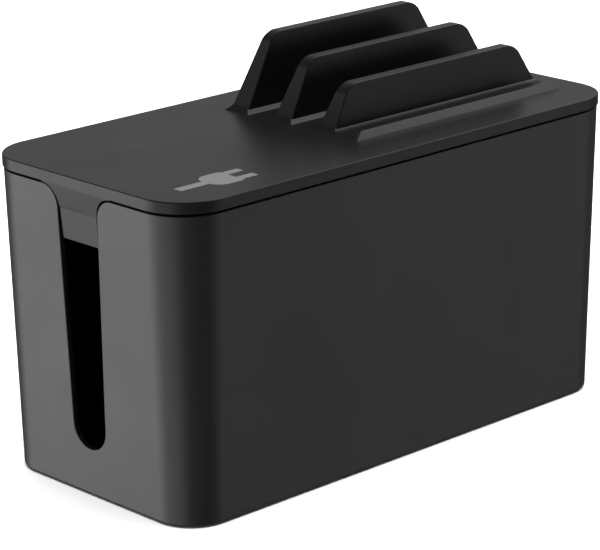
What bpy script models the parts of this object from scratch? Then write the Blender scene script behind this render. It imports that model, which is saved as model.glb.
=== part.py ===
"""Cable box with a lift-off lid that doubles as a rest for phones and tablets.

Metres, +Z up. The origin is on the floor, under the middle of the box. X runs along
the box, and the three fins of the device rest stand on the +X half of the lid, the
tallest one at the back (+Y). Both ends of the box have a slot for the cables, and a
tongue of the lid closes the top of each slot.
"""

import math

import bmesh
import bpy
from mathutils import Vector

# Box
RIM_LENGTH = 0.2400  # outside of the wall, at the rim
RIM_WIDTH = 0.1157
RIM_CORNER = 0.0202
SHELL_HEIGHT = 0.12165
DRAFT = 0.025  # every wall leans in by this much for each unit of depth
WALL = 0.0024
FLOOR = 0.0028
EDGE_ROUND = 0.0008

# Cable slots, one in each end wall
SLOT_Y = 0.0013  # the slots stand this far behind the middle of the ends
SLOT_HALF = 0.0093  # half width at the centre of the round bottom
SLOT_CENTRE = 0.0280  # height of that centre over the shell's underside
SLOT_WIDENING = 0.0260  # for each unit of height, each side
SHOULDER = 0.0082  # radius where the slot opens into the rim

# Feet
FOOT_RADIUS = 0.0060
FOOT_PROUD = 0.0010
FOOT_SUNK = 0.0011
FOOT_FROM_WALL = 0.0160

# Lid
SEAM = 0.00075
LID_EDGE = 0.0047  # height of the lid's visible side
LID_OVERHANG = 0.0005
LID_PLATE = 0.0024
SKIRT_DEPTH = 0.0050
SKIRT_WALL = 0.0016
SKIRT_GAP = 0.0004
TONGUE_DEPTH = 0.0211
TONGUE_LEAN = 0.1  # its outer face leans in from the lid's side, for each unit of depth
TONGUE_INNER = 0.0040  # from the lid's end to its inner face
TONGUE_GAP = 0.00065

# Device rest
LIP_X = 0.04895  # middle of the lip
FIN_REAR_X = 0.0479  # middle of the rear fin
FIN_HEIGHTS = {"rear": 0.0303, "middle": 0.0239, "front": 0.0175}
FIN_PITCH = 0.0239
FIN_REAR_Y = 0.0304
FIN_STAGGER = 0.0013  # each fin stands this far to the right of the one behind
FIN_LENGTH = 0.1170
FIN_THICK = 0.0100
FIN_THICK_TOP = 0.0052
FIN_END_LEAN = math.radians(30)
FIN_CORNER = 0.0080
FIN_EDGE = 0.0005
FOOT_FLARE = 0.0019  # the fin's foot spreads this far over the lid
FOOT_FLARE_END = 0.0016
FOOT_FLARE_HEIGHT = 0.00145
CORE_WALL = 0.0020
CORE_HALF_TOP = 0.0009
CORE_ROOF = 0.0030
LIP_HEIGHT = 0.0027
LIP_FRONT_Y = -0.0380
LIP_RAMP = 0.0036
LIP_CREST = 0.0006
LIP_BACK = 0.0004
LIP_LENGTH = 0.1234
LIP_END_RAMP = 0.0072

OVERSHOOT = 0.0010  # how far a shape reaches into the one it is joined to or cut from
CORNER_STEPS = 9
CLEARANCE = 0.0003

RIM_Z = FOOT_PROUD + SHELL_HEIGHT
LID_UNDER_Z = RIM_Z + SEAM


def material(name, colour, roughness):
    """A plastic or rubber with one colour."""
    made = bpy.data.materials.new(name)
    made.use_nodes = True
    shader = made.node_tree.nodes["Principled BSDF"]
    shader.inputs["Base Color"].default_value = (*colour, 1.0)
    shader.inputs["Roughness"].default_value = roughness
    shader.inputs["Metallic"].default_value = 0.0
    made.diffuse_color = (*colour, 1.0)
    return made


def rounded_rectangle(half_x, half_y, radius, z, middle=(0.0, 0.0), steps=CORNER_STEPS):
    """Points of a rounded rectangle at height z, anticlockwise seen from above."""
    points = []
    for corner, (sx, sy) in enumerate(((1, 1), (-1, 1), (-1, -1), (1, -1))):
        centre = Vector((sx * (half_x - radius), sy * (half_y - radius)))
        for step in range(steps + 1):
            angle = math.radians(90 * (corner + step / steps))
            points.append(
                Vector(
                    (
                        middle[0] + centre.x + radius * math.cos(angle),
                        middle[1] + centre.y + radius * math.sin(angle),
                        z,
                    )
                )
            )
    return points


def loft(name, loops, coat=None, parent=None):
    """A closed body through the loops, with a cap on the first and the last."""
    shape = bmesh.new()
    rings = [[shape.verts.new(point) for point in loop] for loop in loops]
    for low, high in zip(rings, rings[1:]):
        for i, corner in enumerate(low):
            following = (i + 1) % len(low)
            shape.faces.new((corner, low[following], high[following], high[i]))
    shape.faces.new(reversed(rings[0]))
    shape.faces.new(rings[-1])
    bmesh.ops.recalc_face_normals(shape, faces=shape.faces)
    mesh = bpy.data.meshes.new(name)
    shape.to_mesh(mesh)
    shape.free()
    mesh.shade_smooth()
    mesh.set_sharp_from_angle(angle=math.radians(30))
    made = bpy.data.objects.new(name, mesh)
    bpy.context.scene.collection.objects.link(made)
    made.parent = parent
    if coat:
        mesh.materials.append(coat)
    return made


def helper(made):
    """Marks a shape that only cuts another or is joined to it."""
    made.hide_render = True
    made.display_type = "WIRE"
    return made


def combine(target, tool, operation):
    modifier = target.modifiers.new(f"{operation} {tool.name}".lower(), "BOOLEAN")
    modifier.operation = operation
    modifier.solver = "EXACT"
    modifier.object = tool


def wall_section(inset, z):
    """The box's outline at height z over the shell's underside, moved in by inset."""
    lean = DRAFT * (SHELL_HEIGHT - z) + inset
    return rounded_rectangle(
        RIM_LENGTH / 2 - lean, RIM_WIDTH / 2 - lean, RIM_CORNER - lean, z
    )


def slot_half_width(z):
    return SLOT_HALF + SLOT_WIDENING * (z - SLOT_CENTRE)


def slot_outline(gap, bottom, top):
    """The slot in Y and Z over the shell's underside, clockwise from its bottom.

    With a gap of 0 it is the hole in the wall. The lid's tongue is the same shape, with
    a gap to the wall all round and a straight bottom edge.
    """
    shoulder_z = SHELL_HEIGHT - SHOULDER
    side = slot_half_width(shoulder_z)
    half = []
    if bottom < SLOT_CENTRE:
        for step in range(CORNER_STEPS):
            angle = math.radians(90 * step / CORNER_STEPS)
            half.append((SLOT_HALF * math.sin(angle), SLOT_CENTRE - SLOT_HALF * math.cos(angle)))
        bottom = SLOT_CENTRE
    half.append((slot_half_width(bottom) - gap, bottom))
    reach = SHOULDER + gap
    highest = min(90.0, math.degrees(math.asin(min(1.0, (SHOULDER + SEAM) / reach))))
    for step in range(CORNER_STEPS + 1):
        angle = math.radians(highest * step / CORNER_STEPS)
        half.append(
            (side + SHOULDER - reach * math.cos(angle), shoulder_z + reach * math.sin(angle))
        )
    half.append((half[-1][0], top))
    outline = half + [(-y, z) for y, z in reversed(half) if y > 0]
    return [(SLOT_Y + y, z) for y, z in outline]


def slot_prism(name, outline, ends, parent, lift=0.0):
    """An outline in Y and Z drawn out along X. Each end is a function of the height."""
    loops = [[Vector((end(z), y, z + lift)) for y, z in outline] for end in ends]
    return helper(loft(name, loops, parent=parent))


def feet(rubber):
    """Four round rubber feet, set in pockets under the floor. Returns their places."""
    lean = DRAFT * SHELL_HEIGHT
    away_x = RIM_LENGTH / 2 - lean - FOOT_FROM_WALL
    away_y = RIM_WIDTH / 2 - lean - FOOT_FROM_WALL
    places = {
        "foot_left_front": (-away_x, -away_y),
        "foot_left_rear": (-away_x, away_y),
        "foot_right_front": (away_x, -away_y),
        "foot_right_rear": (away_x, away_y),
    }
    top = FOOT_PROUD + FOOT_SUNK
    profile = ((-EDGE_ROUND, 0.0), (0.0, EDGE_ROUND), (0.0, top))
    for name, place in places.items():
        loops = []
        for inset, z in profile:
            radius = FOOT_RADIUS + inset
            loops.append(rounded_rectangle(radius, radius, radius, z, steps=6))
        foot = loft(name, loops, rubber)
        foot.location = (*place, 0.0)
    return places


def box_shell(plastic, foot_places):
    """The tub: drafted walls, a floor, a slot in each end and pockets for the feet."""
    stand = bpy.data.objects.new("box_stand", None)
    bpy.context.scene.collection.objects.link(stand)
    stand.location.z = FOOT_PROUD
    shell = loft(
        "box_shell",
        [
            wall_section(EDGE_ROUND, 0.0),
            wall_section(0.0, EDGE_ROUND),
            wall_section(0.0, SHELL_HEIGHT),
            wall_section(WALL, SHELL_HEIGHT),
            wall_section(WALL, FLOOR),
        ],
        plastic,
        stand,
    )
    through = RIM_LENGTH / 2 + OVERSHOOT
    outline = slot_outline(0.0, 0.0, SHELL_HEIGHT + OVERSHOOT)
    cutter = slot_prism("slot_cutter", outline, (lambda z: -through, lambda z: through), stand)
    combine(shell, cutter, "DIFFERENCE")
    for name, place in foot_places.items():
        radius = FOOT_RADIUS + CLEARANCE
        loops = [
            rounded_rectangle(radius, radius, radius, z, place, 6)
            for z in (-OVERSHOOT, FOOT_SUNK + CLEARANCE)
        ]
        pocket = helper(loft(name + "_pocket", loops, parent=stand))
        combine(shell, pocket, "DIFFERENCE")
    return shell


def fin_ends(height, z):
    """How far a fin's two ends have leaned in at height z, with its round top corners."""
    lean = math.tan(FIN_END_LEAN)
    arc_from = height - FIN_CORNER * (1 - math.sin(FIN_END_LEAN))
    if z <= arc_from:
        return z * lean
    rise = z - (height - FIN_CORNER)
    across = math.sqrt(max(0.0, FIN_CORNER**2 - rise**2))
    return arc_from * lean + FIN_CORNER * math.cos(FIN_END_LEAN) - across


def edge_inset(height, z):
    """The rounding between a fin's face and its top."""
    depth = FIN_EDGE - (height - z)
    return FIN_EDGE - math.sqrt(FIN_EDGE**2 - depth**2) if depth > 0 else 0.0


def fin_section(height, middle, z, flare=0.0, flare_end=0.0):
    """One level of a fin, z over the lid's top."""
    taper = (FIN_THICK - FIN_THICK_TOP) / 2 * max(z, 0.0) / height
    half_y = FIN_THICK / 2 - taper - edge_inset(height, z) + flare
    half_x = FIN_LENGTH / 2 - fin_ends(height, max(z, 0.0)) + flare_end
    radius = min(FIN_EDGE + flare, half_y * 0.9)
    return rounded_rectangle(half_x, half_y, radius, z + LID_EDGE, middle, 3)


def fin(name, height, middle, parent):
    """A tapered plate with leaning ends, which spreads into the lid at its foot."""
    levels = [
        fin_section(height, middle, -OVERSHOOT, FOOT_FLARE, FOOT_FLARE_END),
        fin_section(height, middle, 0.0, FOOT_FLARE, FOOT_FLARE_END),
        fin_section(height, middle, FOOT_FLARE_HEIGHT),
    ]
    for step in range(6):
        angle = FIN_END_LEAN + (math.pi / 2 - FIN_END_LEAN) * step / 5
        levels.append(fin_section(height, middle, height - FIN_CORNER * (1 - math.sin(angle))))
    return helper(loft(name, levels, parent=parent))


def fin_core(name, height, middle, parent):
    """The hollow inside a fin, open under the lid."""
    low, high = -LID_PLATE - OVERSHOOT, height - CORE_ROOF
    levels = []
    for z, half_y in ((low, FIN_THICK / 2 - CORE_WALL), (high, CORE_HALF_TOP)):
        half_x = FIN_LENGTH / 2 - fin_ends(height, max(z, 0.0)) - 2 * CORE_WALL
        levels.append(
            rounded_rectangle(half_x, half_y, CORE_HALF_TOP / 2, z + LID_EDGE, middle, 2)
        )
    return helper(loft(name, levels, parent=parent))


def front_lip(parent):
    """A low ridge with a ramp, which keeps a device in the front slot."""
    levels = []
    for z in (-OVERSHOOT, 0.0, LIP_HEIGHT):
        share = max(z, 0.0) / LIP_HEIGHT
        front = LIP_FRONT_Y + LIP_RAMP * share
        back = LIP_FRONT_Y + LIP_RAMP + LIP_CREST + LIP_BACK * (1 - share)
        half_x = LIP_LENGTH / 2 - LIP_END_RAMP * share
        corners = (
            (LIP_X - half_x, front),
            (LIP_X + half_x, front),
            (LIP_X + half_x, back),
            (LIP_X - half_x, back),
        )
        levels.append([Vector((x, y, z + LID_EDGE)) for x, y in corners])
    return helper(loft("front_lip_solid", levels, parent=parent))


def lid_section(inset, z):
    grow = LID_OVERHANG - inset
    return rounded_rectangle(
        RIM_LENGTH / 2 + grow, RIM_WIDTH / 2 + grow, RIM_CORNER + grow, z
    )


def tongue(name, side, parent):
    """The flap at one end of the lid that closes the top of the cable slot."""
    end = RIM_LENGTH / 2 + LID_OVERHANG
    under = SHELL_HEIGHT + SEAM
    top = under + OVERSHOOT
    outline = slot_outline(TONGUE_GAP, under - TONGUE_DEPTH, top)
    faces = (
        lambda z: side * (end - TONGUE_LEAN * (top - z)),
        lambda z: side * (end - TONGUE_INNER),
    )
    return slot_prism(name, outline, faces, parent, lift=-under)


def lid(plastic):
    """The lid in one moulding: plate, skirt, end tongues and the device rest."""
    seat = bpy.data.objects.new("lid_seat", None)
    bpy.context.scene.collection.objects.link(seat)
    seat.location.z = LID_UNDER_Z
    skirt_out = LID_OVERHANG + WALL + SKIRT_GAP + DRAFT * SKIRT_DEPTH
    skirt_in = skirt_out + SKIRT_WALL
    made = loft(
        "lid",
        [
            lid_section(EDGE_ROUND, LID_EDGE),
            lid_section(EDGE_ROUND * 0.3, LID_EDGE - EDGE_ROUND * 0.3),
            lid_section(0.0, LID_EDGE - EDGE_ROUND),
            lid_section(0.0, 0.0),
            lid_section(skirt_out, 0.0),
            lid_section(skirt_out, -SKIRT_DEPTH),
            lid_section(skirt_in, -SKIRT_DEPTH),
            lid_section(skirt_in, LID_EDGE - LID_PLATE),
        ],
        plastic,
        seat,
    )
    for name, side in (("tongue_left", -1), ("tongue_right", 1)):
        combine(made, tongue(name, side, seat), "UNION")
    for number, (place, height) in enumerate(FIN_HEIGHTS.items()):
        middle = (FIN_REAR_X + number * FIN_STAGGER, FIN_REAR_Y - number * FIN_PITCH)
        combine(made, fin(f"fin_{place}", height, middle, seat), "UNION")
        combine(made, fin_core(f"fin_{place}_core", height, middle, seat), "DIFFERENCE")
    combine(made, front_lip(seat), "UNION")
    return made


def main():
    for left_over in list(bpy.data.objects):
        bpy.data.objects.remove(left_over)
    black_plastic = material("black_moulded_abs", (0.012, 0.012, 0.013), 0.42)
    black_rubber = material("black_rubber", (0.012, 0.012, 0.012), 0.85)
    foot_places = feet(black_rubber)
    box_shell(black_plastic, foot_places)
    lid(black_plastic)


main()
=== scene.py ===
# %% [markdown]
# # A cable box with a device rest on its lid
#
# The object is a black plastic box for a power strip and its leads. Its lid lifts off, and
# three fins on the lid hold phones and tablets upright. Both parts are injection-moulded
# ABS, so this lesson is about thick, drafted plastic walls, small honest edge radii and
# a satin black surface, which shows almost nothing but its reflections.
#
# The frame holds the real sizes and the moving bodies. Every finished piece below is
# modelled around it, in metres, in the same place.

# %% The frame
import math

import bmesh
import bpy
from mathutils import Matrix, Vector


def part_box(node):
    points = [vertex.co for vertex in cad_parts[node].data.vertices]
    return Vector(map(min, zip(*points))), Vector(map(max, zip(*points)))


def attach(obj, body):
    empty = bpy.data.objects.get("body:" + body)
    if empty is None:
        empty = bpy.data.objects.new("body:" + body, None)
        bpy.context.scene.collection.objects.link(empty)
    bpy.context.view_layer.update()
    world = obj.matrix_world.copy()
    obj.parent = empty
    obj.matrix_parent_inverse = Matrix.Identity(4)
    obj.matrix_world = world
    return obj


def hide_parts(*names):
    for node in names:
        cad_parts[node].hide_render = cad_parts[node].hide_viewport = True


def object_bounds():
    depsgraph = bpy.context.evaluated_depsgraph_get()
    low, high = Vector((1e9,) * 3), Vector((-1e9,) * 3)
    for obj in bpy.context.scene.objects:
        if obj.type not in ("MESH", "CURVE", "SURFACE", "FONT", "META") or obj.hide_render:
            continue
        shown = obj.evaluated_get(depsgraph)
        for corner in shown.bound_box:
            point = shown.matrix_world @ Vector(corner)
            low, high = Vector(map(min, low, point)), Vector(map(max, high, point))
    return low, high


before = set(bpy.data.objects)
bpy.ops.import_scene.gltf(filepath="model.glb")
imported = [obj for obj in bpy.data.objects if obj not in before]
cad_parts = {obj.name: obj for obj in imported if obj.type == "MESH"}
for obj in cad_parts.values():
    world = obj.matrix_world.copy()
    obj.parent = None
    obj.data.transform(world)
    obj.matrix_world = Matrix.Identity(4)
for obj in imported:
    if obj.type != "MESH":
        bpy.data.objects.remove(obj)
cad_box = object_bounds()
bpy.ops.object.select_all(action="DESELECT")
MM = 0.001

# %% [markdown]
# ## Camera
#
# The camera comes first, because every later choice is judged through it. A long lens from
# more than a metre away keeps the long walls nearly parallel. The camera looks past the
# corner where the slotted end meets the front, a little from above, and it leans by less
# than a degree, as a hand-levelled one does.

# %% Camera
TARGET = Vector((-0.0068, 0.0, 0.0648))
DISTANCE = 1.15865
AZIMUTH = math.radians(-43.47)
ELEVATION = math.radians(17.573)
ROLL = math.radians(-0.778)
LENS = 172.19

back = Vector(
    (
        math.sin(AZIMUTH) * math.cos(ELEVATION),
        -math.cos(AZIMUTH) * math.cos(ELEVATION),
        math.sin(ELEVATION),
    )
)
camera_data = bpy.data.cameras.new("camera")
camera_data.lens = LENS
camera = bpy.data.objects.new("camera", camera_data)
bpy.context.scene.collection.objects.link(camera)
camera.location = TARGET + back * DISTANCE
camera.rotation_euler = back.to_track_quat("Z", "Y").to_euler()
camera.rotation_euler.rotate_axis("Z", ROLL)
bpy.context.scene.camera = camera
print(f"camera {DISTANCE:.2f} m from its target")

# %% [markdown]
# ## Tools used throughout
#
# Each piece is made the way it would be by hand: a primitive at its size and place, then
# edit mode, a selection, and an operator. With no hand to click, faces and edges are
# picked by a test on where they are or which way they face. `climb` is the one compound
# move: it extrudes what is selected from level to level and gives each level its own
# width, which is how a drafted or flared plastic form is drawn.


# %% Picking and shaping
def edit(piece, mode):
    """Opens a piece in edit mode with nothing selected."""
    bpy.context.view_layer.objects.active = piece
    piece.select_set(True)
    bpy.ops.object.mode_set(mode="EDIT")
    bpy.ops.mesh.select_mode(type=mode)
    bpy.ops.mesh.select_all(action="DESELECT")


def close():
    """Leaves edit mode, with nothing selected."""
    bpy.ops.object.mode_set(mode="OBJECT")
    bpy.ops.object.select_all(action="DESELECT")


def pick_faces(piece, wanted):
    mesh = bmesh.from_edit_mesh(piece.data)
    for face in mesh.faces:
        face.select_set(bool(wanted(face.calc_center_median(), face.normal)))
    mesh.select_flush_mode()
    bmesh.update_edit_mesh(piece.data)


def pick_edges(piece, wanted):
    """Selects the edges whose two ends and face angle pass the test."""
    mesh = bmesh.from_edit_mesh(piece.data)
    for edge in mesh.edges:
        ends = [corner.co.copy() for corner in edge.verts]
        edge.select_set(bool(wanted(*ends, edge.calc_face_angle(math.pi))))
    mesh.select_flush_mode()
    bmesh.update_edit_mesh(piece.data)


def block(name, low, high):
    """A cube between two corners, with its place in its mesh."""
    low, high = Vector(low), Vector(high)
    bpy.ops.mesh.primitive_cube_add(size=1, location=(low + high) / 2)
    piece = bpy.context.object
    piece.name = name
    piece.scale = high - low
    bpy.ops.object.transform_apply(location=True, rotation=True, scale=True)
    bpy.ops.object.select_all(action="DESELECT")
    return piece


def climb(levels, centre, lean=0.0):
    """Extrudes the selected face through levels of (height, half size in X, half size in Y).

    With a lean, the middle moves along X by that much for each unit of height.
    """
    middle_x, middle_y = centre
    for (low, x, y), (high, next_x, next_y) in zip(levels, levels[1:]):
        rise = high - low
        middle_x += lean * rise
        bpy.ops.mesh.extrude_region_move(
            TRANSFORM_OT_translate={"value": (lean * rise, 0, rise)}
        )
        bpy.ops.transform.resize(
            value=(next_x / x, next_y / y, 1), center_override=(middle_x, middle_y, high)
        )


def combine(piece, tool, operation):
    """Joins or cuts a piece with another one, which is then used up."""
    boolean = piece.modifiers.new(operation.lower(), "BOOLEAN")
    boolean.operation = operation
    boolean.solver = "EXACT"
    boolean.object = tool
    bpy.context.view_layer.objects.active = piece
    bpy.ops.object.modifier_apply(modifier=boolean.name)
    bpy.data.objects.remove(tool)


def finish_surface(piece, smooth_up_to=35):
    """Soft shading across small angles, led by the large faces so that flats stay flat."""
    bpy.context.view_layer.objects.active = piece
    piece.select_set(True)
    bpy.ops.object.shade_smooth_by_angle(angle=math.radians(smooth_up_to))
    weighted = piece.modifiers.new("weighted", "WEIGHTED_NORMAL")
    weighted.weight = 100
    weighted.keep_sharp = True
    bpy.ops.object.modifier_apply(modifier=weighted.name)
    bpy.ops.object.select_all(action="DESELECT")


# %% [markdown]
# ## The box shell
#
# The tub is a deep moulding. Its walls lean in by one and a half degrees towards the
# floor, so that it slides off its core, and its corners get tighter downwards with them.
# A bevelled plane gives the rounded outline. Inset with a depth then draws each wall, as
# it moves the whole outline in by the same distance all round, which plain scaling of a
# long box would not.

# %% The tub's walls and floor
DRAFT = 0.025
WALL = 2.4 * MM
RIM_CORNER = 20.2 * MM
CORNER_STEPS = 20

shell_low, shell_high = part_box("box_shell")
rim = shell_high.z
height = shell_high.z - shell_low.z
floor_top = 2.8 * MM + shell_low.z


def rounded_plane(name, half_x, half_y, z, corner):
    """A flat rounded rectangle that faces down, left open in edit mode."""
    bpy.ops.mesh.primitive_plane_add(size=2, location=(0, 0, z))
    piece = bpy.context.object
    piece.name = name
    piece.scale = (half_x, half_y, 1)
    bpy.ops.object.transform_apply(location=True, rotation=True, scale=True)
    bpy.ops.object.select_all(action="DESELECT")
    edit(piece, "VERT")
    bpy.ops.mesh.select_all(action="SELECT")
    bpy.ops.mesh.bevel(offset=corner, segments=CORNER_STEPS, affect="VERTICES")
    bpy.ops.mesh.select_all(action="SELECT")
    bpy.ops.mesh.flip_normals()
    bpy.ops.mesh.select_mode(type="FACE")
    bpy.ops.mesh.select_all(action="SELECT")
    return piece


shell = rounded_plane("box_shell_moulding", shell_high.x, shell_high.y, rim, RIM_CORNER)
bpy.ops.mesh.inset(thickness=DRAFT * height, depth=height)
pick_edges(shell, lambda a, b, angle: min(a.z, b.z) > rim - 0.1 * MM)
bpy.ops.mesh.edge_face_add()
bpy.ops.mesh.select_all(action="SELECT")
bpy.ops.mesh.normals_make_consistent(inside=False)
pick_faces(shell, lambda place, normal: normal.z > 0.9)
bpy.ops.mesh.inset(thickness=WALL, depth=0)
inner_depth = rim - floor_top
bpy.ops.mesh.inset(thickness=DRAFT * inner_depth, depth=-inner_depth)
close()
print("shell:", len(shell.data.polygons), "faces")

# %% [markdown]
# ## Cable slots
#
# Each end wall has a tall slot with a round bottom. It widens a little upwards, for the
# same reason as the walls lean, and opens into the rim with two round shoulders, so that
# leads can be laid in from above. One cutter through the whole box makes both slots, so
# they line up. It starts as the lower half of a cylinder, and its flat top then climbs.

# %% The slot cutter
SLOT_HALF = 9.3 * MM
SLOT_Y = 1.3 * MM
SLOT_CENTRE = shell_low.z + 28 * MM
SLOT_WIDENING = 0.026
SHOULDER = 8.2 * MM
SHOULDER_STEPS = 12


def mouth(gap, bottom, top):
    """Half widths of the slot from a bottom height up, less a gap: straight, then the shoulder."""
    straight_top = rim - SHOULDER
    side = SLOT_HALF + SLOT_WIDENING * (straight_top - SLOT_CENTRE)
    reach = SHOULDER + gap
    steepest = math.asin(min(1.0, (top - straight_top) / reach))
    levels = [(bottom, SLOT_HALF + SLOT_WIDENING * (bottom - SLOT_CENTRE) - gap)]
    for step in range(SHOULDER_STEPS + 1):
        turn = steepest * step / SHOULDER_STEPS
        levels.append(
            (
                straight_top + reach * math.sin(turn),
                side + SHOULDER - reach * math.cos(turn),
            )
        )
    return levels


through = shell_high.x + 5 * MM
bpy.ops.mesh.primitive_cylinder_add(
    vertices=72,
    radius=SLOT_HALF,
    depth=2 * through,
    location=(0, SLOT_Y, SLOT_CENTRE),
    rotation=(0, math.radians(90), 0),
)
cutter = bpy.context.object
bpy.ops.object.transform_apply(location=True, rotation=True, scale=True)
bpy.ops.object.select_all(action="DESELECT")
edit(cutter, "FACE")
bpy.ops.mesh.select_all(action="SELECT")
bpy.ops.mesh.bisect(
    plane_co=(0, 0, SLOT_CENTRE), plane_no=(0, 0, 1), clear_outer=True, use_fill=True
)
pick_faces(cutter, lambda place, normal: place.z > SLOT_CENTRE - 0.01 * MM)
slot_levels = [(z, through, y) for z, y in mouth(0.0, SLOT_CENTRE, rim)]
climb(slot_levels, (0, SLOT_Y))
top_y = slot_levels[-1][2]
climb([(rim, through, top_y), (rim + 2 * MM, through, top_y)], (0, SLOT_Y))
close()
combine(shell, cutter, "DIFFERENCE")
print(f"slot mouth {2 * top_y / MM:.1f} mm wide at the rim")

# %% [markdown]
# ## Pockets and edges
#
# Four shallow round pockets under the floor take the rubber feet. Then every edge that a
# mould leaves gets its small radius. A Bevel modifier limited by angle finds them all: the
# rim, the slot and the foot of the walls turn sharply, while the steps round the corner
# columns turn by less than five degrees and are left alone.

# %% Foot pockets and edge radii
FEET = ("foot_left_front", "foot_left_rear", "foot_right_front", "foot_right_rear")
POCKET_GAP = 0.3 * MM
EDGE = 0.45 * MM

for foot_name in FEET:
    low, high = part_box(foot_name)
    centre = (low + high) / 2
    pocket_top = high.z + POCKET_GAP
    bpy.ops.mesh.primitive_cylinder_add(
        vertices=48,
        radius=(high.x - low.x) / 2 + POCKET_GAP,
        depth=2 * (pocket_top - shell_low.z),
        location=(centre.x, centre.y, shell_low.z),
    )
    pocket = bpy.context.object
    bpy.ops.object.transform_apply(location=True, rotation=True, scale=True)
    bpy.ops.object.select_all(action="DESELECT")
    combine(shell, pocket, "DIFFERENCE")


def round_edges(piece, radius, segments=3, sharper_than=40):
    bevel = piece.modifiers.new("edges", "BEVEL")
    bevel.width = radius
    bevel.segments = segments
    bevel.limit_method = "ANGLE"
    bevel.angle_limit = math.radians(sharper_than)
    bpy.context.view_layer.objects.active = piece
    bpy.ops.object.modifier_apply(modifier=bevel.name)


round_edges(shell, EDGE)
finish_surface(shell)
print("shell with slots:", len(shell.data.polygons), "faces")

# %% [markdown]
# ## The lid
#
# The lid is one moulding too. Its plate hangs over the wall by half a millimetre, its top
# edge is gently rounded, and a thin skirt underneath drops inside the wall and keeps it
# in place. A cube with bevelled corners is the plate and its side. The skirt is drawn
# from the underside, with two insets and two extrusions.

# %% The lid's plate and skirt
LID_TOP_ROUND = 0.5 * MM
LID_LOWER_ROUND = 0.4 * MM
LID_PLATE = 2.4 * MM
SKIRT_DEPTH = 5.0 * MM
SKIRT_WALL = 1.6 * MM
SKIRT_GAP = 0.4 * MM

lid_low, lid_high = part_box("lid")
FIN_TALLEST = 30.3 * MM
LID_SIDE = 4.7 * MM
lid_top = lid_high.z - FIN_TALLEST
lid_under = lid_top - LID_SIDE
overhang = lid_high.x - shell_high.x
skirt_inset = overhang + WALL + SKIRT_GAP + DRAFT * SKIRT_DEPTH

lid = block(
    "lid_moulding",
    (lid_low.x, lid_low.y, lid_under),
    (lid_high.x, lid_high.y, lid_top),
)
edit(lid, "EDGE")
pick_edges(lid, lambda a, b, angle: abs(a.z - b.z) > MM)
bpy.ops.mesh.bevel(
    offset=RIM_CORNER + overhang, segments=CORNER_STEPS, affect="EDGES"
)
pick_edges(lid, lambda a, b, angle: min(a.z, b.z) > lid_top - 0.1 * MM)
bpy.ops.mesh.bevel(offset=LID_TOP_ROUND, segments=5, affect="EDGES")
pick_edges(lid, lambda a, b, angle: max(a.z, b.z) < lid_under + 0.1 * MM)
bpy.ops.mesh.bevel(offset=LID_LOWER_ROUND, segments=3, affect="EDGES")
bpy.ops.mesh.select_mode(type="FACE")
pick_faces(lid, lambda place, normal: normal.z < -0.99)
bpy.ops.mesh.inset(thickness=skirt_inset - LID_LOWER_ROUND, depth=0)
bpy.ops.mesh.extrude_region_move(
    TRANSFORM_OT_translate={"value": (0, 0, -SKIRT_DEPTH)}
)
bpy.ops.mesh.inset(thickness=SKIRT_WALL, depth=0)
bpy.ops.mesh.extrude_region_move(
    TRANSFORM_OT_translate={"value": (0, 0, SKIRT_DEPTH + LID_SIDE - LID_PLATE)}
)
bpy.ops.mesh.select_all(action="SELECT")
bpy.ops.mesh.remove_doubles(threshold=0.001 * MM)
bpy.ops.mesh.normals_make_consistent(inside=False)
close()
print(f"lid top at {lid_top / MM:.1f} mm")

# %% [markdown]
# ## Tongues
#
# At each end a tongue hangs from the lid and closes the top of the cable slot. It has the
# slot's own outline less a small gap, so the shoulders of the slot and of the tongue run
# side by side. Its outer face leans in from the lid's side, more at the neck than below
# it, so that it sits a little behind the wall. One is modelled at the left end and
# mirrored for the right end.

# %% The left tongue, and its twin
TONGUE_DEPTH = 21.1 * MM
TONGUE_LEAN = 0.07
NECK_LEAN = 0.14
NECK = 9.0 * MM
TONGUE_INNER = 4.0 * MM
TONGUE_GAP = 0.65 * MM
TONGUE_EDGE = 0.4 * MM

tongue_low = lid_under - TONGUE_DEPTH
neck_low = lid_under - NECK
outer_x = lid_low.x + 0.02 * MM
inner_x = lid_low.x + TONGUE_INNER
neck_x = outer_x + NECK_LEAN * NECK
foot_x = neck_x + TONGUE_LEAN * (neck_low - tongue_low)


def half_width(z):
    """The tongue's half width at one height, which stays full above the shoulder's arc."""
    outline = mouth(TONGUE_GAP, tongue_low, lid_under)
    for (low, narrow), (high, wide) in zip(outline, outline[1:]):
        if z <= high:
            return narrow + (wide - narrow) * (z - low) / (high - low)
    return wide


def tongue_levels(bottom, top, bottom_x, lean):
    """Levels of the tongue between two heights, where its outer face leans by one slope."""
    outline = [(bottom, half_width(bottom))]
    for z, y in mouth(TONGUE_GAP, tongue_low, lid_under):
        if bottom < z < top:
            outline.append((z, y))
    outline.append((top, half_width(top)))
    return [(z, (inner_x - bottom_x + lean * (z - bottom)) / 2, y) for z, y in outline]


flap = tongue_levels(tongue_low, neck_low, foot_x, TONGUE_LEAN)
neck = tongue_levels(neck_low, lid_under, neck_x, NECK_LEAN)
tongue = block(
    "tongue",
    (foot_x, SLOT_Y - flap[0][2], tongue_low - MM),
    (inner_x, SLOT_Y + flap[0][2], tongue_low),
)
edit(tongue, "FACE")
pick_faces(tongue, lambda place, normal: normal.z > 0.9)
climb(flap, ((foot_x + inner_x) / 2, SLOT_Y), -TONGUE_LEAN / 2)
climb(neck, ((neck_x + inner_x) / 2, SLOT_Y), -NECK_LEAN / 2)
bpy.ops.mesh.extrude_region_move(TRANSFORM_OT_translate={"value": (0, 0, MM)})
pick_faces(tongue, lambda place, normal: place.z < tongue_low - 0.1 * MM)
bpy.ops.mesh.delete(type="FACE")
pick_edges(tongue, lambda a, b, angle: max(a.z, b.z) < tongue_low + 0.1 * MM)
bpy.ops.mesh.edge_face_add()
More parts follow.
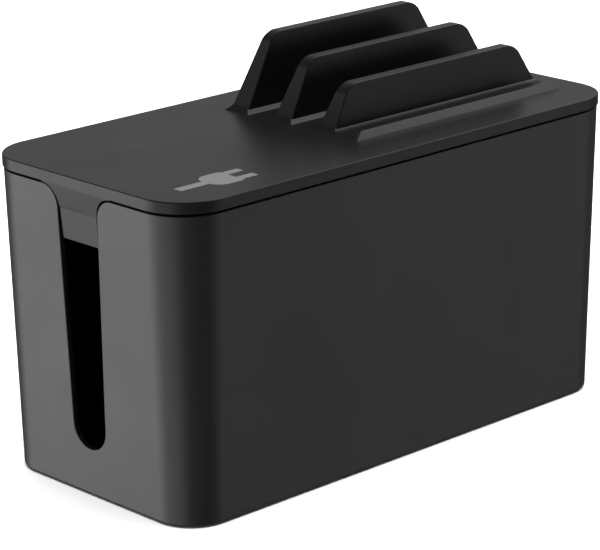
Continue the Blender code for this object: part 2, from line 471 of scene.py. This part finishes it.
bpy.ops.mesh.select_all(action="SELECT")
bpy.ops.mesh.normals_make_consistent(inside=False)
bpy.ops.mesh.select_mode(type="EDGE")
pick_edges(
    tongue,
    lambda a, b, angle: angle > math.radians(40) and max(a.z, b.z) < neck_low + MM,
)
bpy.ops.mesh.bevel(offset=TONGUE_EDGE, segments=3, affect="EDGES")
close()


def mirrored(piece, name):
    """A copy at the other end of the box, with its own mesh."""
    bpy.context.view_layer.objects.active = piece
    piece.select_set(True)
    bpy.ops.object.duplicate()
    twin = bpy.context.object
    twin.name = name
    bpy.ops.transform.mirror(constraint_axis=(True, False, False))
    bpy.ops.object.transform_apply(location=True, rotation=True, scale=True)
    edit(twin, "FACE")
    bpy.ops.mesh.select_all(action="SELECT")
    bpy.ops.mesh.normals_make_consistent(inside=False)
    close()
    return twin


twin = mirrored(tongue, "tongue_twin")
combine(lid, tongue, "UNION")
combine(lid, twin, "UNION")
print(f"tongues reach {(rim - tongue_low) / MM:.1f} mm below the rim")

# %% [markdown]
# ## The fins
#
# Three tapered fins, each lower than the one behind it, grow out of the lid. Their ends
# lean in by thirty degrees, the two upper corners are broadly rounded, and the foot
# spreads over the lid in a short flat flare, higher at the ends than along the faces. A
# block is extruded level by level through the flare to the top. The corner radius and
# then the edge radii are bevels.

# %% One fin
FIN_HALF_LENGTH = 58.5 * MM
FIN_HALF_FOOT = 5.0 * MM
FIN_HALF_TOP = 2.6 * MM
FIN_LEAN = math.radians(30)
FIN_CORNER = 8.0 * MM
FIN_EDGE = 0.45 * MM
FLAT = math.radians(0.5)
FLARE_SIDE = (1.9 * MM, 1.45 * MM)
FLARE_END = (1.6 * MM, 2.6 * MM)
SINK = 1.0 * MM


def spread(above, flare):
    """How far a flare of (spread, height) still stands out at a height above the lid."""
    out, tall = flare
    return out * max(0.0, 1 - above / tall)


def fin(name, x, y, tall):
    """One fin, with its foot sunk a little into the lid."""

    def level(above):
        taper = (FIN_HALF_FOOT - FIN_HALF_TOP) * above / tall
        half_x = FIN_HALF_LENGTH - above * math.tan(FIN_LEAN) + spread(above, FLARE_END)
        half_y = FIN_HALF_FOOT - taper + spread(above, FLARE_SIDE)
        return (lid_top + above, half_x, half_y)

    foot = level(0.0)
    low = Vector((x - foot[1], y - foot[2], lid_top - SINK))
    high = Vector((x + foot[1], y + foot[2], lid_top))
    piece = block(name, low, high)
    edit(piece, "FACE")
    pick_faces(piece, lambda place, normal: normal.z > 0.9)
    climb([level(h) for h in (0.0, FLARE_SIDE[1], FLARE_END[1], tall)], (x, y))
    top = lid_top + tall
    bpy.ops.mesh.select_mode(type="EDGE")
    pick_edges(
        piece,
        lambda a, b, angle: min(a.z, b.z) > top - 0.1 * MM and abs(a.x - b.x) < 0.1 * MM,
    )
    bpy.ops.mesh.bevel(
        offset=FIN_CORNER * math.tan(math.radians(90) / 2 - FIN_LEAN / 2),
        segments=10,
        affect="EDGES",
    )
    bpy.ops.mesh.select_all(action="SELECT")
    bpy.ops.mesh.dissolve_limited(angle_limit=FLAT)
    pick_edges(
        piece,
        lambda a, b, angle: angle > math.radians(55) and max(a.z, b.z) > lid_top + 0.02 * MM,
    )
    bpy.ops.mesh.bevel(offset=FIN_EDGE, segments=3, affect="EDGES")
    close()
    return piece


# %% [markdown]
# ## Three fins, their hollows, and the lip
#
# Thick plastic sinks as it cools, so a moulder cores a fin out from below and leaves a
# wall of even thickness. Each fin is joined to the lid and its core is then cut from the
# underside. In front of the lowest fin a low lip stops a phone from sliding off. It has
# a flat ramp to the front and sloping ends.

# %% Fins and cores on the lid
FIN_HEIGHTS = (30.3 * MM, 23.9 * MM, 17.5 * MM)
FIN_REAR_X = 47.9 * MM
FIN_REAR_Y = 30.4 * MM
FIN_STAGGER = 1.3 * MM
FIN_PITCH = 23.9 * MM
CORE_WALL = 2.0 * MM
CORE_ROOF = 3.0 * MM
CORE_HALF_TOP = 0.9 * MM

for number, tall in enumerate(FIN_HEIGHTS):
    x = FIN_REAR_X + number * FIN_STAGGER
    y = FIN_REAR_Y - number * FIN_PITCH
    combine(lid, fin(f"fin_{number}", x, y, tall), "UNION")
    core_low = lid_top - LID_PLATE - 0.5 * MM
    core_high = lid_top + tall - CORE_ROOF
    lean = (tall - CORE_ROOF) * math.tan(FIN_LEAN)
    half_x = FIN_HALF_LENGTH - 2 * CORE_WALL
    half_y = FIN_HALF_FOOT - CORE_WALL
    core = block(
        "core",
        (x - half_x, y - half_y, core_low - MM),
        (x + half_x, y + half_y, core_low),
    )
    edit(core, "FACE")
    pick_faces(core, lambda place, normal: normal.z > 0.9)
    climb(
        [(core_low, half_x, half_y), (core_high, half_x - lean, CORE_HALF_TOP)],
        (x, y),
    )
    close()
    combine(lid, core, "DIFFERENCE")
print("fins:", len(FIN_HEIGHTS))

# %% The front lip
LIP_MIDDLE_X = 48.95 * MM
LIP_FRONT = -38.0 * MM
LIP_DEPTH = 4.4 * MM
LIP_HEIGHT = 2.7 * MM
LIP_RAMP = 3.6 * MM
LIP_END_RAMP = 7.2 * MM
LIP_HALF_LENGTH = 61.7 * MM
LIP_EDGE = 0.2 * MM

lip = block(
    "lip",
    (LIP_MIDDLE_X - LIP_HALF_LENGTH, LIP_FRONT, lid_top - SINK),
    (LIP_MIDDLE_X + LIP_HALF_LENGTH, LIP_FRONT + LIP_DEPTH, lid_top + LIP_HEIGHT),
)
edit(lip, "EDGE")
for side in (-1, 1):
    end = LIP_MIDDLE_X + side * LIP_HALF_LENGTH
    pick_edges(
        lip,
        lambda a, b, angle: min(a.z, b.z) > lid_top and abs(a.x - end) + abs(b.x - end) < MM,
    )
    bpy.ops.transform.translate(value=(-side * LIP_END_RAMP, 0, 0))
pick_edges(
    lip, lambda a, b, angle: min(a.z, b.z) > lid_top and max(a.y, b.y) < LIP_FRONT + MM
)
bpy.ops.transform.translate(value=(0, LIP_RAMP, 0))
pick_edges(lip, lambda a, b, angle: max(a.z, b.z) > lid_top + 0.1 * MM)
bpy.ops.mesh.bevel(offset=LIP_EDGE, segments=3, affect="EDGES")
close()
combine(lid, lip, "UNION")
finish_surface(lid)
print("lid:", len(lid.data.polygons), "faces")

# %% [markdown]
# ## The printed mark
#
# A small pale sign is printed on the flat half of the lid. Here it is a plug with its lead,
# drawn only to say what the box is for. Printed ink is a film of a few hundredths of a
# millimetre: three blocks and a rounded body, joined in one thin piece.

# %% Plug sign
INK = 0.03 * MM
SIGN_X = -104.5 * MM
SIGN_Y = -38.5 * MM
LEAD = (14.0 * MM, 2.2 * MM)
BODY = (13.0 * MM, 7.4 * MM)
PRONG = (9.0 * MM, 1.9 * MM)
PRONG_OFF = 4.2 * MM
BODY_BACK_ROUND = 5.5 * MM
BODY_FRONT_ROUND = 1.2 * MM
ink_low = lid_top + 0.005 * MM


def printed(name, start, size, off):
    """A printed bar from a place along X, with its length and half width."""
    length, half_width = size
    return block(
        name,
        (SIGN_X + start, SIGN_Y + off - half_width, ink_low),
        (SIGN_X + start + length, SIGN_Y + off + half_width, ink_low + INK),
    )


body_end = LEAD[0] + BODY[0]
sign = printed("plug_sign", LEAD[0], BODY, 0.0)
edit(sign, "EDGE")
pick_edges(sign, lambda a, b, angle: abs(a.z - b.z) > INK / 2 and a.x < SIGN_X + LEAD[0] + MM)
bpy.ops.mesh.bevel(offset=BODY_BACK_ROUND, segments=12, affect="EDGES")
pick_edges(sign, lambda a, b, angle: abs(a.z - b.z) > INK / 2 and a.x > SIGN_X + body_end - MM)
bpy.ops.mesh.bevel(offset=BODY_FRONT_ROUND, segments=4, affect="EDGES")
close()
combine(sign, printed("lead", 0.0, (LEAD[0] + MM, LEAD[1]), 0.0), "UNION")
for side in (-1, 1):
    prong = printed("prong", body_end - MM, PRONG, side * PRONG_OFF)
    combine(sign, prong, "UNION")
print(f"sign {(body_end + PRONG[0] - MM) / MM:.0f} mm long")

# %% [markdown]
# ## Feet
#
# A thin disc of black rubber sits in each pocket, pressed from sheet with a rounded lower
# edge and a shallow dish in the middle, so that it grips by its ring. One is modelled and
# then copied to the other three places.

# %% Rubber feet
FOOT_EDGE = 0.35 * MM
FOOT_RING = 2.2 * MM
FOOT_DISH = 0.25 * MM

first_low, first_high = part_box(FEET[0])
radius = (first_high.x - first_low.x) / 2
first_centre = (first_low + first_high) / 2
bpy.ops.mesh.primitive_cylinder_add(
    vertices=64,
    radius=radius,
    depth=first_high.z - first_low.z,
    location=first_centre,
)
foot = bpy.context.object
foot.name = FEET[0] + "_rubber"
bpy.ops.object.transform_apply(location=True, rotation=True, scale=True)
bpy.ops.object.select_all(action="DESELECT")
edit(foot, "EDGE")
pick_edges(foot, lambda a, b, angle: max(a.z, b.z) < first_low.z + 0.1 * MM)
bpy.ops.mesh.bevel(offset=FOOT_EDGE, segments=4, affect="EDGES")
bpy.ops.mesh.select_mode(type="FACE")
pick_faces(foot, lambda place, normal: normal.z < -0.99)
bpy.ops.mesh.inset(thickness=FOOT_RING, depth=0)
bpy.ops.mesh.inset(thickness=FOOT_DISH, depth=-FOOT_DISH)
close()
feet = [foot]
for foot_name in FEET[1:]:
    low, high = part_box(foot_name)
    shift = (low + high) / 2 - first_centre
    bpy.context.view_layer.objects.active = foot
    foot.select_set(True)
    bpy.ops.object.duplicate_move(TRANSFORM_OT_translate={"value": shift})
    copy = bpy.context.object
    copy.name = foot_name + "_rubber"
    bpy.ops.object.transform_apply(location=True, rotation=True, scale=True)
    bpy.ops.object.select_all(action="DESELECT")
    feet.append(copy)
for piece in feet:
    finish_surface(piece)
print("feet:", ", ".join(piece.name for piece in feet))


# %% [markdown]
# ## Materials
#
# Black ABS from a spark-eroded mould: the pigment is so deep that nearly all the light
# that comes back is a blurred reflection off the surface. Its grain is about a tenth of
# a millimetre, finer than the picture can show, so most of it is given as roughness and
# only a faint, coarser unevenness is drawn as bump.


# %% Colours and nodes
def colour(sheet):
    """An sRGB hex colour turned linear."""
    parts = [int(sheet[i : i + 2], 16) / 255 for i in (1, 3, 5)]
    linear = [p / 12.92 if p <= 0.04045 else ((p + 0.055) / 1.055) ** 2.4 for p in parts]
    return (*linear, 1.0)


def add(tree, kind, settings=None, links=None):
    """Adds a node, sets its properties and input values, and links its inputs."""
    node = tree.nodes.new(kind)
    for key, value in (settings or {}).items():
        if hasattr(node, key):
            setattr(node, key, value)
        else:
            node.inputs[key].default_value = value
    for key, source in (links or {}).items():
        tree.links.new(source, node.inputs[key])
    return node


def new_material(name):
    made = bpy.data.materials.new(name)
    made.use_nodes = True
    tree = made.node_tree
    return made, tree, tree.nodes["Principled BSDF"]


# %% Black ABS
def black_abs(name, base, roughness, level):
    """Satin black ABS: fine grain in the bump, slow unevenness in the roughness."""
    made, tree, shader = new_material(name)
    shader.inputs["Base Color"].default_value = colour(base)
    shader.inputs["IOR"].default_value = 1.5
    shader.inputs["Specular IOR Level"].default_value = level
    place = add(tree, "ShaderNodeTexCoord")
    grain = add(
        tree,
        "ShaderNodeTexNoise",
        {"Scale": 1 / (0.45 * MM), "Detail": 3.0, "Roughness": 0.6},
        {"Vector": place.outputs["Object"]},
    )
    bump = add(
        tree,
        "ShaderNodeBump",
        {"Strength": 0.10, "Distance": 0.05 * MM},
        {"Height": grain.outputs["Fac"]},
    )
    tree.links.new(bump.outputs["Normal"], shader.inputs["Normal"])
    cloud = add(
        tree,
        "ShaderNodeTexNoise",
        {"Scale": 1 / (35 * MM), "Detail": 2.0},
        {"Vector": place.outputs["Object"]},
    )
    rough = add(
        tree,
        "ShaderNodeMapRange",
        {"From Min": 0.3, "From Max": 0.7, "To Min": roughness - 0.02, "To Max": roughness + 0.02},
        {"Value": cloud.outputs["Fac"]},
    )
    tree.links.new(rough.outputs["Result"], shader.inputs["Roughness"])
    return made


box_plastic = black_abs("black ABS, satin spark-eroded, box", "#0b0b0c", 0.42, 0.5)
lid_plastic = black_abs("black ABS, satin spark-eroded, lid", "#0b0b0c", 0.33, 0.25)
shell.data.materials.clear()
shell.data.materials.append(box_plastic)
lid.data.materials.clear()
lid.data.materials.append(lid_plastic)

# %% Black rubber
rubber, tree, shader = new_material("black rubber, pressed sheet")
shader.inputs["Base Color"].default_value = colour("#101010")
shader.inputs["IOR"].default_value = 1.52
place = add(tree, "ShaderNodeTexCoord")
skin = add(
    tree,
    "ShaderNodeTexNoise",
    {"Scale": 1 / (0.6 * MM), "Detail": 4.0},
    {"Vector": place.outputs["Object"]},
)
bump = add(
    tree,
    "ShaderNodeBump",
    {"Strength": 0.25, "Distance": 0.05 * MM},
    {"Height": skin.outputs["Fac"]},
)
tree.links.new(bump.outputs["Normal"], shader.inputs["Normal"])
shader.inputs["Roughness"].default_value = 0.8
for piece in feet:
    piece.data.materials.clear()
    piece.data.materials.append(rubber)

# %% Printed ink
ink, tree, shader = new_material("pale grey pad-printed ink")
shader.inputs["Base Color"].default_value = colour("#5a5a5a")
shader.inputs["Roughness"].default_value = 0.5
shader.inputs["Specular IOR Level"].default_value = 0.3
sign.data.materials.clear()
sign.data.materials.append(ink)

# %% [markdown]
# ## What moves with what
#
# The lid lifts off, and the box stays where it is with its feet.

# %% Riding
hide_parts("box_shell")
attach(shell, "box")
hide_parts("lid")
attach(lid, "lid")
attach(sign, "lid")
for foot_name, piece in zip(FEET, feet):
    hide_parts(foot_name)
    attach(piece, "box")

# %% [markdown]
# ## Floor and light
#
# Satin black shows the room more than itself, so the light is set for what each face
# reflects. A broad lamp overhead keeps the paper floor white. It and the floor are left out
# of the reflections, and the room is painted instead as large soft panels of light, each
# with a direction, a brightness, and the angles where it is still full and where it has
# faded out. The brightest is low behind the slotted end, which makes that wall the lightest
# face. A dim one in front shows the long wall, one behind the right end lights the lid's
# top, and one high on the right draws the thin bright lines along the flares. Between
# them the room is dark, so the round column at the near corner stays dark too.

# %% Floor
FLOOR_SIZE = 8.0

bpy.ops.mesh.primitive_plane_add(size=FLOOR_SIZE, location=(0, 0, cad_box[0].z - 0.05 * MM))
floor = bpy.context.object
floor.name = "floor"
paper, tree, shader = new_material("white paper")
shader.inputs["Base Color"].default_value = colour("#f4f4f4")
shader.inputs["Roughness"].default_value = 1.0
shader.inputs["Specular IOR Level"].default_value = 0.0
floor.data.materials.append(paper)

# %% Lamp and room
OVERHEAD_POWER = 170
OVERHEAD_SIZE = 3.0
OVERHEAD_HEIGHT = 2.6
ROOM_GLOW = 0.13
# each panel: where it is, its brightness, and its full and faded angles in degrees
PANELS = (
    ((0.68, -0.73, -0.20), 0.70, 4, 30),
    ((-0.68, 0.73, -0.13), 3.8, 4, 33),
    ((-0.93, 0.02, -0.32), 1.5, 8, 38),
    ((-0.69, -0.66, -0.30), 0.18, 14, 45),
    ((0.656, 0.692, 0.302), 0.29, 20, 42),
    ((-0.62, 0.69, 0.37), 0.42, 6, 24),
    ((0.656, -0.096, 0.749), 2.7, 12, 30),
)

overhead = bpy.data.lights.new("overhead", "AREA")
overhead.size = OVERHEAD_SIZE
overhead.energy = OVERHEAD_POWER
lamp = bpy.data.objects.new("overhead", overhead)
bpy.context.scene.collection.objects.link(lamp)
lamp.location = (0, 0, OVERHEAD_HEIGHT)
lamp.visible_camera = False
lamp.visible_glossy = False
floor.visible_glossy = False

world = bpy.data.worlds.new("room")
bpy.context.scene.world = world
world.use_nodes = True
tree = world.node_tree
direction = add(tree, "ShaderNodeTexCoord").outputs["Generated"]
glow = None
for towards, radiance, inner, outer in PANELS:
    facing = add(
        tree,
        "ShaderNodeVectorMath",
        {"operation": "DOT_PRODUCT"},
        {0: direction},
    )
    facing.inputs[1].default_value = Vector(towards).normalized()
    panel = add(
        tree,
        "ShaderNodeMapRange",
        {
            "interpolation_type": "SMOOTHSTEP",
            "From Min": math.cos(math.radians(outer)),
            "From Max": math.cos(math.radians(inner)),
            "To Min": 0.0,
            "To Max": radiance,
        },
        {"Value": facing.outputs["Value"]},
    )
    level = panel.outputs["Result"]
    if glow is None:
        total = add(tree, "ShaderNodeMath", {"operation": "ADD"}, {0: level})
        total.inputs[1].default_value = ROOM_GLOW
    else:
        total = add(tree, "ShaderNodeMath", {"operation": "ADD"}, {0: level, 1: glow})
    glow = total.outputs["Value"]
tree.links.new(glow, tree.nodes["Background"].inputs["Color"])
bpy.context.scene.view_settings.view_transform = "Standard"
